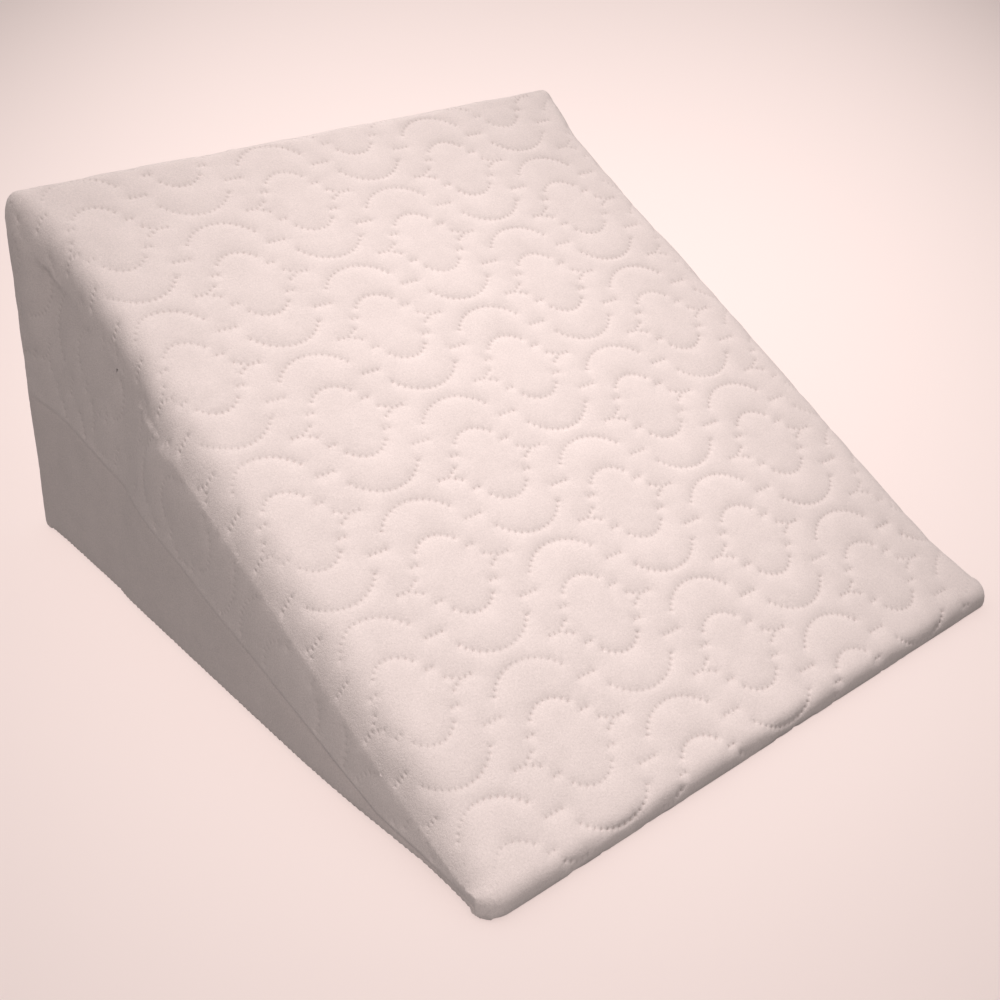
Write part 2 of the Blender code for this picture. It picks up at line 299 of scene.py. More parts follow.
    def side_place(self, below, up):
        """Place on a side of cloth that runs on below the edge: along and up the side."""
        inset = self.slope_inset(up)
        hold = smooth(up / (90 * MM))
        slip = self.row_drift(np.minimum(up, self.slope_length - 60 * MM), inset) + ROW_DRIFT * below * hold
        return self.corner + self.along * (up - slip)[:, None] + self.inward * (inset + below)[:, None]

    def side_out(self, place, side):
        """How far out the side's cloth lies at places along and up the side."""
        offset = place - self.corner
        up, under = offset @ self.along, offset @ self.inward
        up = np.clip(up + ROW_DRIFT * np.maximum(under - 4 * MM, 0.0), 0.0, self.slope_length - 15 * MM)
        below = np.maximum(under - self.slope_inset(up), 0.0)
        edge = np.where(side > 0, EDGE_CLOTH + RIGHT_SHIFT, -EDGE_CLOTH) * np.ones_like(up)
        out, _, angle = self.turned(edge, up)
        lack = self.half_width - out
        reach = np.clip(lack / np.maximum(np.cos(angle), 0.02), 8 * MM, 90 * MM)
        to_back = self.depth / 2 - RUNS[2][1] - place[:, 0]
        inside = smooth(to_back / (45 * MM))
        lack = lack * np.exp(-below / reach) * inside + 0.6 * MM * (1 - inside)
        return self.half_width - lack


def seam_height(place_y, section):
    """Height of the line between quilted and plain cloth."""
    line = np.array(SEAM_LINE) * MM
    return np.interp(place_y + section.depth / 2, line[:, 0], line[:, 1])


def weld_marks():
    """Marks of one medallion: place and direction of the row at each."""
    marks = []
    for name, crest, radius, half, count in ARCS:
        for angle in np.radians(np.linspace(-half, half, count)):
            x, y = radius * math.sin(angle), crest - radius + radius * math.cos(angle)
            marks.append((x, y, -angle))
            marks.append((x, -y, angle))
    for name, x0, y0, x1, y1, count in DASHES:
        for share in np.linspace(0, 1, count):
            x, y = x0 + (x1 - x0) * share, y0 + (y1 - y0) * share
            angle = math.atan2(y1 - y0, x1 - x0)
            for side in (1, -1):
                for turn in (1, -1):
                    marks.append((side * x, turn * y, side * turn * angle))
    return unique_marks(marks)


def unique_marks(marks, gap=1.0 * MM):
    """Marks without the ones that fall on another."""
    kept = []
    for mark in marks:
        if all(math.dist(mark[:2], other[:2]) > gap for other in kept):
            kept.append(mark)
    return kept


def weld_lines():
    """Rows of one medallion as short straight pieces, for distances."""
    lines = []
    for name, crest, radius, half, count in ARCS:
        angles = np.radians(np.linspace(-half, half, 4 * count))
        for turn in (1, -1):
            points = [(radius * math.sin(a), turn * (crest - radius + radius * math.cos(a))) for a in angles]
            lines += list(zip(points, points[1:]))
    for name, x0, y0, x1, y1, count in DASHES:
        for side in (1, -1):
            for turn in (1, -1):
                lines.append(((side * x0, turn * y0), (side * x1, turn * y1)))
    return lines


def tile_box(pitch_x, pitch_y):
    """The repeat's rectangle round one medallion, shifted to keep its borders clear of the marks."""
    return -pitch_x / 2, pitch_x / 2, -pitch_y / 2 + TILE_SHIFT, pitch_y / 2 + TILE_SHIFT


def neighbours(pitch_x, pitch_y):
    """Middles of a medallion and of the ones round it."""
    places = [(0.0, row * pitch_y) for row in (-1, 0, 1)]
    places += [(side * pitch_x, (row + 0.5) * pitch_y) for side in (-1, 1) for row in (-2, -1, 0, 1)]
    return places


def tile_points(pitch_x, pitch_y):
    """Points of one repeat: its border, rings round each mark, and staggered fill between."""
    left, right, low, high = tile_box(pitch_x, pitch_y)
    border = [(left + (right - left) * k / BORDER_COLUMNS, y) for y in (low, high) for k in range(BORDER_COLUMNS)]
    border += [(right, low), (right, high)]
    border += [(x, low + (high - low) * k / BORDER_ROWS) for x in (left, right) for k in range(1, BORDER_ROWS)]
    marks = []
    for mid_x, mid_y in neighbours(pitch_x, pitch_y):
        for x, y, angle in weld_marks():
            if left < x + mid_x < right and low < y + mid_y < high:
                marks.append((x + mid_x, y + mid_y, angle))
    marks = unique_marks(marks)
    points = list(border)
    for x, y, angle in marks:
        points.append((x, y))
        for ring, (count, half_length, half_width) in enumerate(PIT_RINGS):
            for k in range(count):
                spin = 2 * math.pi * (k + 0.25 + 0.5 * ring) / count
                along, over = half_width * math.cos(spin), half_length * math.sin(spin)
                place = (x + along * math.cos(angle) - over * math.sin(angle),
                         y + along * math.sin(angle) + over * math.cos(angle))
                if left + FILL_GAP / 6 < place[0] < right - FILL_GAP / 6:
                    points.append(place)
    taken = np.array(points)
    rows = int((high - low) / (FILL_STEP * 0.866))
    for row in range(rows):
        for column in range(int((right - left) / FILL_STEP) + 1):
            place = np.array((left + (column + 0.5 * (row % 2)) * FILL_STEP, low + (row + 0.5) * FILL_STEP * 0.866))
            inside = left + FILL_GAP / 2 < place[0] < right - FILL_GAP / 2 and place[1] < high - FILL_GAP / 2
            if inside and np.linalg.norm(taken - place, axis=1).min() > FILL_GAP:
                points.append(tuple(place))
                taken = np.vstack([taken, place])
    return points, len(border), marks


def gap_to_lines(points, pitch_x, pitch_y):
    """Distance from each point to the nearest row of marks."""
    best = np.full(len(points), 1.0)
    for mid in neighbours(pitch_x, pitch_y):
        for start, end in weld_lines():
            first = np.array(start) + mid
            way = np.array(end) - np.array(start)
            share = np.clip(((points - first) @ way) / (way @ way), 0, 1)
            best = np.minimum(best, np.linalg.norm(points - first - share[:, None] * way, axis=1))
    return best


def pit_shape(points, marks, pitch_x, pitch_y):
    """How deep in a pit each point lies, from 0 outside to 1 at a mark."""
    deep = np.zeros(len(points))
    _, half_length, half_width = PIT_RINGS[-1]
    for dx, dy in [(0, 0)] + [(sx * pitch_x, sy * pitch_y / 2) for sx in (-1, 1) for sy in (-1, 1)]:
        for x, y, angle in marks:
            over = points - (x + dx, y + dy)
            along = over[:, 0] * math.cos(angle) + over[:, 1] * math.sin(angle)
            across = -over[:, 0] * math.sin(angle) + over[:, 1] * math.cos(angle)
            away = np.hypot(along / half_width, across / half_length)
            deep = np.maximum(deep, 1.0 - smooth(away))
    return deep


def quilted_tile(sizes):
    """One repeat of the quilting: points, triangles, relief and welded share."""
    pitch_x, pitch_y = sizes.column_pitch, sizes.row_pitch
    points, rim, marks = tile_points(pitch_x, pitch_y)
    scaled = [Vector((x / MM, y / MM)) for x, y in points]
    flat, _, faces, _, _, _ = delaunay_2d_cdt(scaled, [], [], 0, 1e-5)
    flat = np.array([tuple(place) for place in flat]) * MM
    faces = np.array(faces)
    a, b, c = (flat[faces[:, k]] for k in range(3))
    area = (b[:, 0] - a[:, 0]) * (c[:, 1] - a[:, 1]) - (b[:, 1] - a[:, 1]) * (c[:, 0] - a[:, 0])
    faces[area < 0] = faces[area < 0][:, ::-1]
    gap = gap_to_lines(flat, pitch_x, pitch_y)
    pit = pit_shape(flat, marks, pitch_x, pitch_y)
    valley = sizes.quilt_depth * np.exp(-gap / sizes.quilt_reach)
    relief = -valley - sizes.pit_depth * pit
    return flat, faces, relief, pit


def quilted_length(sizes, section):
    """Flat quilted cloth, wide enough for the sides too: places, relief, welded share and triangles."""
    flat, faces, relief, pit = quilted_tile(sizes)
    cos, sin = math.cos(sizes.pattern_turn), math.sin(sizes.pattern_turn)
    start, end = section.lengths[0], section.lengths[-1]
    half = EDGE_CLOTH + SIDE_CLOTH
    columns = int((half + abs(sizes.anchor_across)) / sizes.column_pitch) + 2
    rows = int(math.hypot(half, max(end - sizes.anchor_up, sizes.anchor_up - start)) / sizes.row_pitch) + 2
    places, heights, welded, triangles = [], [], [], []
    count = 0
    for column in range(-columns, columns + 1):
        for row in range(-rows, rows + 1):
            x = flat[:, 0] + column * sizes.column_pitch
            y = flat[:, 1] + (row + 0.5 * (column % 2)) * sizes.row_pitch
            across = sizes.anchor_across + x * cos - y * sin
            up = sizes.anchor_up + x * sin + y * cos
            if across.min() > half or across.max() < -half or up.min() > end or up.max() < start:
                continue
            triangles.append(faces + count)
            places.append(np.column_stack([x, y, across, up]))
            heights.append(relief)
            welded.append(pit)
            count += len(flat)
    places, heights, welded = np.vstack(places), np.concatenate(heights), np.concatenate(welded)
    _, first, index = np.unique(np.round(places[:, :2] / (0.02 * MM)).astype(int), axis=0,
                                return_index=True, return_inverse=True)
    places, heights, welded = places[first], heights[first], welded[first]
    triangles = index.reshape(-1)[np.vstack(triangles)]
    return places[:, 2], places[:, 3], heights, welded, triangles


def sliver_targets(bm):
    """Inner points of very thin triangles at the border, each with the border point to join it to."""
    targets = {}
    for face in bm.faces:
        a, b, c = [vert.co for vert in face.verts]
        area = ((b.x - a.x) * (c.y - a.y) - (b.y - a.y) * (c.x - a.x)) / 2
        border = [vert for vert in face.verts if vert.is_boundary]
        if area > THIN_AREA or not border:
            continue
        for vert in face.verts:
            near = min(border, key=lambda other: (other.co - vert.co).length)
            if not vert.is_boundary and (near.co - vert.co).length < 1.2 * MM:
                targets[vert] = near
    return targets


def cut_to_panel(section, across, up, heights, welded, triangles):
    """Cut the flat cloth along the lines where it starts to lie on a side or under the base."""
    start, end = section.lengths[0], section.lengths[-1]
    left, right = -EDGE_CLOTH, EDGE_CLOTH + RIGHT_SHIFT
    near = 60 * MM
    wanted = (across[triangles] > left - near).all(1) & (across[triangles] < right + near).all(1)
    mesh = bpy.data.meshes.new("flat_cloth")
    mesh.from_pydata(np.column_stack([across, up, heights]).tolist(), [], triangles[wanted].tolist())
    mesh.update()
    bm = bmesh.new()
    bm.from_mesh(mesh)
    bpy.data.meshes.remove(mesh)
    layer = bm.verts.layers.float.new("weld")
    bm.verts.ensure_lookup_table()
    for vert, value in zip(bm.verts, welded.tolist()):
        vert[layer] = value
    cuts = (((right, 0, 0), (1, 0, 0)), ((left, 0, 0), (-1, 0, 0)), ((0, start, 0), (0, -1, 0)), ((0, end, 0), (0, 1, 0)))
    for place, normal in cuts:
        everything = bm.verts[:] + bm.edges[:] + bm.faces[:]
        bmesh.ops.bisect_plane(bm, geom=everything, dist=1e-7, plane_co=place, plane_no=normal, clear_outer=True)
    bmesh.ops.delete(bm, geom=[vert for vert in bm.verts if not vert.link_faces], context="VERTS")
    rim = [vert for vert in bm.verts if vert.is_boundary]
    sides = [vert for vert in rim if start + MM < vert.co.y < end - MM]
    ends = [vert for vert in rim if left + MM < vert.co.x < right - MM]
    bmesh.ops.remove_doubles(bm, verts=sides, dist=BORDER_GAP)
    bmesh.ops.remove_doubles(bm, verts=[vert for vert in ends if vert.is_valid], dist=BORDER_GAP)
    bmesh.ops.triangulate(bm, faces=bm.faces)
    bmesh.ops.weld_verts(bm, targetmap=sliver_targets(bm))
    same = {}
    for face in bm.faces:
        same.setdefault(frozenset(face.verts), []).append(face)
    folded = [face for pair in same.values() if len(pair) > 1 for face in pair]
    bmesh.ops.delete(bm, geom=folded, context="FACES")
    return bm, layer


def border_runs(bm, section):
    """The panel's border points in four runs, each in order from its start."""
    start, end = section.lengths[0], section.lengths[-1]
    left_edge, right_edge = -EDGE_CLOTH, EDGE_CLOTH + RIGHT_SHIFT
    near = 1e-6
    rim = [vert for vert in bm.verts if vert.is_boundary]
    left = sorted((v for v in rim if v.co.x < left_edge + near), key=lambda v: v.co.y)
    right = sorted((v for v in rim if v.co.x > right_edge - near), key=lambda v: v.co.y)
    front = sorted((v for v in rim if v.co.y < start + near), key=lambda v: v.co.x)
    back = sorted((v for v in rim if v.co.y > end - near), key=lambda v: v.co.x)
    return left, right, front, back


def vertex_normals(points, triangles):
    """Outward directions at the points of a triangle mesh."""
    a, b, c = (points[triangles[:, k]] for k in range(3))
    faces = np.cross(b - a, c - a)
    normals = np.zeros_like(points)
    for k in range(3):
        np.add.at(normals, triangles[:, k], faces)
    return normals / np.maximum(np.linalg.norm(normals, axis=1), 1e-12)[:, None]


def fill_region(border, inner):
    """Triangles over a flat region: first its border's points, then the inner ones."""
    points = [Vector((p[0] / MM, p[1] / MM)) for p in list(border) + list(inner)]
    loop = list(range(len(border)))
    flat, _, faces, sources, _, _ = delaunay_2d_cdt(points, [], [loop], 1, 1e-6)
    order = [source[0] if source else None for source in sources]
    if None in order or len(set(order)) != len(flat):
        raise RuntimeError("a panel's points cross each other")
    return [tuple(order[k] for k in face) for face in faces]


def hex_places(low, high, step):
    """Staggered places over a rectangle."""
    rows = int((high[1] - low[1]) / (step * 0.866)) + 1
    columns = int((high[0] - low[0]) / step) + 1
    return np.array([(low[0] + (column + 0.5 * (row % 2)) * step, low[1] + row * step * 0.866)
                     for row in range(rows) for column in range(columns)])


def inside_gap(points, polygon):
    """Signed distance of points to a closed outline, positive inside."""
    polygon = np.asarray(polygon)
    gap = np.full(len(points), 1e9)
    inside = np.zeros(len(points), bool)
    for a, b in zip(polygon, np.roll(polygon, -1, axis=0)):
        way = b - a
        length = way @ way
        if length < 1e-16:
            continue
        share = np.clip(((points - a) @ way) / length, 0, 1)
        gap = np.minimum(gap, np.linalg.norm(points - a - share[:, None] * way, axis=1))
        crosses = (a[1] > points[:, 1]) != (b[1] > points[:, 1])
        at = a[0] + (points[:, 1] - a[1]) * way[0] / (way[1] if way[1] else 1e-12)
        inside ^= crosses & (points[:, 0] < at)
    return np.where(inside, gap, -gap)


def thin_out(points, gap, taken=()):
    """Points in order, without those that come too close to an earlier one or to a taken one."""
    cells = {}
    for point in taken:
        cells.setdefault(tuple(np.floor(point / gap).astype(int)), []).append(tuple(point))
    kept = []
    for point in points:
        cell = tuple(np.floor(point / gap).astype(int))
        near = [other for x in (-1, 0, 1) for y in (-1, 0, 1) for other in cells.get((cell[0] + x, cell[1] + y), ())]
        if all(math.dist(point, other) > gap for other in near):
            cells.setdefault(cell, []).append(tuple(point))
            kept.append(point)
    return np.array(kept)


def seam_rows(section):
    """Rows of points along the line between quilted and plain cloth on a side, and just above the base."""
    rows = []
    ys = np.arange(-section.depth / 2, section.depth / 2, 3 * MM)
    for count, offset in enumerate((0.0, 2.2 * MM, -2.2 * MM, 4.6 * MM, -4.6 * MM)):
        places = ys + (1.5 * MM if count in (1, 2) else 0.0)
        rows.append(np.column_stack([places, seam_height(places, section) + offset]))
    for offset in (1.8 * MM, 3.8 * MM, 6.4 * MM):
        rows.append(np.column_stack([ys + 1.5 * MM, np.full(len(ys), RUNS[-1][1] + offset)]))
    return np.vstack(rows)


def make_side(points, side, edge_run, section, cloth):
    """Side of the pillow: new places, their relief, weld and cloth coordinates, and triangles."""
    across, up, relief, welded = cloth
    border = points[edge_run][:, 1:]
    start, end = border[-1], border[0]
    steps = int(np.linalg.norm(end - start) / (5 * MM))
    bottom = np.array([start + (end - start) * k / steps for k in range(1, steps)])
    outline = np.vstack([border, bottom])

    edge = EDGE_CLOTH + (RIGHT_SHIFT if side > 0 else 0.0)
    below = side * across - edge
    mine = (below > 1.5 * MM) & (up > 4 * MM) & (up < section.slope_length + 70 * MM)
    place = section.side_place(below[mine], up[mine])
    over = place[:, 1] - seam_height(place[:, 0], section)
    inside = (inside_gap(place, outline) > 1.3 * MM) & (over > 6.0 * MM)
    quilt = place[inside]
    quilt_values = np.column_stack([relief[mine], welded[mine], up[mine], side * (below[mine] + edge)])[inside]

    rows = seam_rows(section)
    rows = rows[inside_gap(rows, outline) > 1.3 * MM]
    fill = hex_places(outline.min(0), outline.max(0), 6.0 * MM)
    fill = fill[inside_gap(fill, outline) > 1.6 * MM]
    rows = thin_out(rows, 1.2 * MM)
    fill = thin_out(fill, 3.6 * MM, np.vstack([rows, quilt]))
    inner = np.vstack([quilt, rows, fill])
    values = np.zeros((len(bottom) + len(inner), 4))
    values[len(bottom):len(bottom) + len(quilt)] = quilt_values
    plain = np.vstack([bottom, inner])
    rest = np.ones(len(plain), bool)
    rest[len(bottom):len(bottom) + len(quilt)] = False
    offset = plain[rest] - section.corner
    values[rest, 2] = offset @ section.along
    values[rest, 3] = side * (edge + offset @ section.inward)

    out = section.side_out(plain, side)
    under = seam_height(plain[:, 0], section) - plain[:, 1]
    from_front = plain[:, 0] + section.depth / 2
    recess = 1.6 * MM * (1 - smooth((from_front - 90 * MM) / (130 * MM))) + 0.6 * MM
    tuck = 3.0 * MM * np.exp(-np.maximum(under, 0) / (7 * MM)) * (1 - smooth((from_front - 150 * MM) / (150 * MM)))
    recess = (recess + tuck) * smooth(from_front / (80 * MM)) * smooth((section.depth - from_front) / (40 * MM))
    out -= recess * smooth((under + 1.5 * MM) / (3.0 * MM))
    out -= 1.5 * MM * np.exp(-np.maximum(plain[:, 1] - 3.5 * MM, 0) / (5 * MM))
    new = np.column_stack([side * out, plain])
    triangles = fill_region(outline, inner)
    index = list(edge_run) + list(range(len(points), len(points) + len(new)))
    triangles = np.array([[index[k] for k in face] for face in triangles])
    return new, values, triangles, index[len(edge_run):len(edge_run) + len(bottom)]


def make_base(points, loop, section):
    """Flat base inside the lower border, rounded up to the sides."""
    border = points[loop]
    radius = RUNS[-1][1]
    low, high = border[:, :2].min(0), border[:, :2].max(0)
    edges = []
    for side in (-1, 1):
        run = border[(border[:, 2] > radius / 2) & (np.sign(border[:, 0]) == side)]
        run = run[np.argsort(run[:, 1])]
        edges.append((side, run))
    inner = []
    ys = np.arange(low[1] + 6 * MM, high[1] - 6 * MM, 6 * MM)
    for inset in (0.3, 1.0, 2.2, 3.6, 12.0):
        for side, run in edges:
            inner.append(np.column_stack([np.interp(ys, run[:, 1], run[:, 0]) - side * inset * MM, ys]))
    for inset in (4.0, 12.0):
        xs = np.arange(low[0] + 8 * MM, high[0] - 8 * MM, 8 * MM)
        for y in (low[1] + inset * MM, high[1] - inset * MM):
            inner.append(np.column_stack([xs, np.full(len(xs), y)]))
    inner.append(hex_places(low, high, 24 * MM))
    inner = np.vstack(inner)
    inner = inner[inside_gap(inner, border[:, :2]) > 0.15 * MM]
    inner = thin_out(inner, 0.7 * MM)
    over = np.zeros(len(inner))
    for side, run in edges:
        gap = side * (np.interp(inner[:, 1], run[:, 1], run[:, 0]) - inner[:, 0])
        over = np.maximum(over, np.clip(radius - gap, 0, radius * 0.999))
    z = radius - np.sqrt(radius ** 2 - over ** 2)
    new = np.column_stack([inner, z])
    triangles = fill_region(border[:, :2], inner)
    index = list(loop) + list(range(len(points), len(points) + len(new)))
    return new, np.array([[index[k] for k in face] for face in triangles])


def facing(points, triangles, direction):
    """Triangles turned so that their mean normal points along a direction."""
    a, b, c = (points[triangles[:, k]] for k in range(3))
    mean = np.cross(b - a, c - a).sum(0)
    return triangles if mean @ np.array(direction) > 0 else triangles[:, ::-1]


# Small creases in the quilted cloth, in cloth coordinates
CREASES = (
    # from across, from up, to across, to up, depth, half width
    (-236, 434, -272, 423, 1.0, 2.6),
    (-301, 456, -398, 432, 1.0, 3.2),
    (-276, 421, -296, 428, 0.5, 3.0),
    (-279, 413, -300, 417, 0.4, 2.8),
    (-262, 40, -296, 30, 1.2, 4.0),
    (-268, 21, -300, 16, 1.2, 3.6),
    (-284, 350, -330, 336, 0.7, 3.0),
    (286, 250, 322, 238, 0.8, 3.0),
    (280, 520, 325, 505, 0.8, 3.0),
)


def crease_depth(across, up):
    """How far the creases press in at places on the flat cloth."""
    depth = np.zeros_like(across)
    for a0, u0, a1, u1, deep, half_width in CREASES:
        way = np.array((a1 - a0, u1 - u0)) * MM
        share = np.clip(((across - a0 * MM) * way[0] + (up - u0 * MM) * way[1]) / (way @ way), 0, 1)
        away = np.hypot(across - a0 * MM - share * way[0], up - u0 * MM - share * way[1]) / (half_width * MM)
        depth += deep * MM * np.exp(-away ** 2) * np.sin(math.pi * np.clip(share, 0.04, 0.96)) ** 0.5
    return depth


def round_plan(points, section):
    """Round the two front corners as seen from above."""
    rounded = points.copy()
    from_front = points[:, 1] + section.depth / 2
    for side, radius in ((-1, LEFT_CORNER), (1, RIGHT_CORNER)):
        edge = (side * points[:, 0]).max()
        into = np.clip(side * points[:, 0] - (edge - radius), 0.0, radius)
        back = radius - np.sqrt(radius ** 2 - into ** 2)
        rounded[:, 1] += back * (1 - smooth(from_front / (3 * radius)))
    return rounded


def surface_move(points, across, up, relief, section, sizes):
    """How far each point moves along its normal: quilting, unevenness, seams and creases."""
    y, z = points[:, 1], points[:, 2]
    on_side = np.abs(across) > EDGE_CLOTH + RIGHT_SHIFT * (across > 0) + 0.01 * MM
    on_back = ~on_side & (up > section.slope_length)
    on_lip = ~on_side & (up < 2 * MM)
    seam = np.where(on_lip, LIP_SEAM, seam_height(y, section))
    over = np.where(on_side | on_back | on_lip, z - seam, 1.0)
    hold = smooth(over / (9 * MM)) * smooth(z / (8 * MM))
    near_edge = smooth((np.abs(across) - 245 * MM) / (30 * MM))
    hold *= 1.0 - EDGE_CALM * near_edge - 0.5 * near_edge * smooth((50 * MM - up) / (20 * MM))
    hold *= 1.0 - 0.5 * np.exp(-((up - section.slope_length) / (10 * MM)) ** 2)
    from_join = np.abs(across) - EDGE_CLOTH - RIGHT_SHIFT * (across > 0)
    relief = relief * (1.0 - 0.9 * np.exp(-(from_join / (5 * MM)) ** 2))
    corner_gap = np.maximum(section.half_width - np.abs(points[:, 0]), section.depth / 2 - y)
    uneven = 1.0 + 0.22 * waves(across, up, 75 * MM, SEED)
    rumple = 0.12 * MM * waves(across, up, 13 * MM, SEED + 2, 11)
    drape = 0.5 * MM * waves(across, up, 110 * MM, SEED + 1) * smooth(z / (60 * MM))
    groove = sizes.seam_pull * np.exp(-(over / (1.6 * MM)) ** 2) * smooth(corner_gap / (30 * MM)) * ~on_lip
    return (relief * uneven + rumple - crease_depth(across, up)) * hold + drape - groove


def build_cover(sizes):
    """The whole cover as one closed mesh with its kinds of cloth."""
    section = Section(sizes)
    across, up, heights, welded, triangles = quilted_length(sizes, section)
    bm, layer = cut_to_panel(section, across, up, heights, welded, triangles)
    bm.verts.index_update()
    left, right, front, back = [[vert.index for vert in run] for run in border_runs(bm, section)]
    flat = np.array([tuple(vert.co) for vert in bm.verts])
    cap_weld = np.array([vert[layer] for vert in bm.verts])
    cap = np.array([[vert.index for vert in face.verts] for face in bm.faces])
    bm.free()

    points = section.fold(flat[:, 0], flat[:, 1])
    values = np.column_stack([flat[:, 2], cap_weld, flat[:, 1], flat[:, 0]])
    cloth = (across, up, heights, welded)
    new, new_values, left_faces, left_bottom = make_side(points, -1, left, section, cloth)
    points, values = np.vstack([points, new]), np.vstack([values, new_values])
    new, new_values, right_faces, right_bottom = make_side(points, 1, right, section, cloth)
    points, values = np.vstack([points, new]), np.vstack([values, new_values])
    covered = len(points)
    loop = front + right_bottom[::-1] + back[::-1] + left_bottom
    new_base, base = make_base(points, loop, section)
    points = np.vstack([points, new_base])
    values = np.vstack([values, np.column_stack([np.zeros((len(new_base), 2)), new_base[:, 1], new_base[:, 0]])])

    points = round_plan(points, section)
    cap = facing(points, cap, (0, -0.2, 1))
    sides = np.vstack([facing(points, left_faces, (-1, 0, 0)), facing(points, right_faces, (1, 0, 0))])
    base = facing(points, base, (0, 0, -1))
    normals = vertex_normals(points, np.vstack([cap, sides, base]))
    relief, welded, up, across = values.T
    move = surface_move(points, across, up, relief, section, sizes)
    move[covered:] = 0.0
    move[left_bottom + right_bottom + front + back] = 0.0
    points = points + normals * move[:, None]
    points[:, 2] = np.maximum(points[:, 2], 0.0)

    centre = points[cap].mean(1)
    on_slope = (up[cap].mean(1) < section.slope_length) & (up[cap].mean(1) > 2 * MM)
    cap_seam = np.where(up[cap].mean(1) < 2 * MM, LIP_SEAM, seam_height(centre[:, 1], section))
    cap_plain = ~on_slope & (centre[:, 2] < cap_seam)
    centre = points[sides].mean(1)
    side_plain = centre[:, 2] < seam_height(centre[:, 1], section)
    groups = ((cap, cap_plain.astype(int)), (sides, side_plain.astype(int)), (base, np.full(len(base), 2)))
    return points, groups, np.column_stack([across, up]), welded


def cover_object(sizes):
    """Make the mesh object of the cover from its points and panels."""
    points, groups, uv, welded = build_cover(sizes)
    faces = np.vstack([part for part, _ in groups])
    slots = np.concatenate([slot for _, slot in groups])
    mesh = bpy.data.meshes.new("pillow_cover")
    mesh.from_pydata(points.tolist(), [], faces.tolist())
    mesh.polygons.foreach_set("material_index", slots.astype(np.int32))
    mesh.polygons.foreach_set("use_smooth", np.ones(len(faces), bool))
    attribute = mesh.attributes.new("weld", "FLOAT", "POINT")
    attribute.data.foreach_set("value", welded.astype(np.float32))
    mesh.update()
    bm = bmesh.new()
    bm.from_mesh(mesh)
    bmesh.ops.recalc_face_normals(bm, faces=bm.faces)
    loose = sum(1 for edge in bm.edges if not edge.is_manifold)
    bm.to_mesh(mesh)
    bm.free()
    if loose:
        raise RuntimeError(f"the cover has {loose} open edges")
    layer = mesh.uv_layers.new(name="cloth")
    corners = np.zeros(len(mesh.loops), np.int32)
    mesh.loops.foreach_get("vertex_index", corners)
    layer.data.foreach_set("uv", uv[corners].astype(np.float32).ravel())
    piece = bpy.data.objects.new("pillow_cover", mesh)
    bpy.context.scene.collection.objects.link(piece)
    return piece


def group_socket(tree, name, kind, inward, default=None):
    """Add one named socket to a shader group."""
    socket = tree.interface.new_socket(name, in_out="INPUT" if inward else "OUTPUT", socket_type=kind)
    if default is not None:
        socket.default_value = default
    return socket


def brushed_group():
    """Brushed cloth: fine fibres and soft mottling, as a height and a shade."""
    tree = bpy.data.node_groups.new("brushed_cloth", "ShaderNodeTree")
    group_socket(tree, "Place", "NodeSocketVector", True)
    group_socket(tree, "Fibre Scale", "NodeSocketFloat", True, 900.0)
    group_socket(tree, "Mottle Scale", "NodeSocketFloat", True, 60.0)
    group_socket(tree, "Height", "NodeSocketFloat", False)
    group_socket(tree, "Shade", "NodeSocketFloat", False)
    nodes, links = tree.nodes, tree.links
    entry = nodes.new("NodeGroupInput")
    leave = nodes.new("NodeGroupOutput")
    fibre = nodes.new("ShaderNodeTexNoise")
    fibre.inputs["Detail"].default_value = 4.0
    fibre.inputs["Roughness"].default_value = 0.65
    fibre.inputs["Distortion"].default_value = 0.6
    mottle = nodes.new("ShaderNodeTexNoise")
    mottle.inputs["Detail"].default_value = 3.0
    blend = nodes.new("ShaderNodeMath")
    blend.operation = "MULTIPLY_ADD"
    blend.inputs[1].default_value = 0.35
    links.new(entry.outputs["Place"], fibre.inputs["Vector"])
    links.new(entry.outputs["Fibre Scale"], fibre.inputs["Scale"])
    links.new(entry.outputs["Place"], mottle.inputs["Vector"])
    links.new(entry.outputs["Mottle Scale"], mottle.inputs["Scale"])
    links.new(mottle.outputs["Fac"], blend.inputs[0])
    links.new(fibre.outputs["Fac"], blend.inputs[2])
    links.new(fibre.outputs["Fac"], leave.inputs["Height"])
    links.new(blend.outputs["Value"], leave.inputs["Shade"])
    return tree


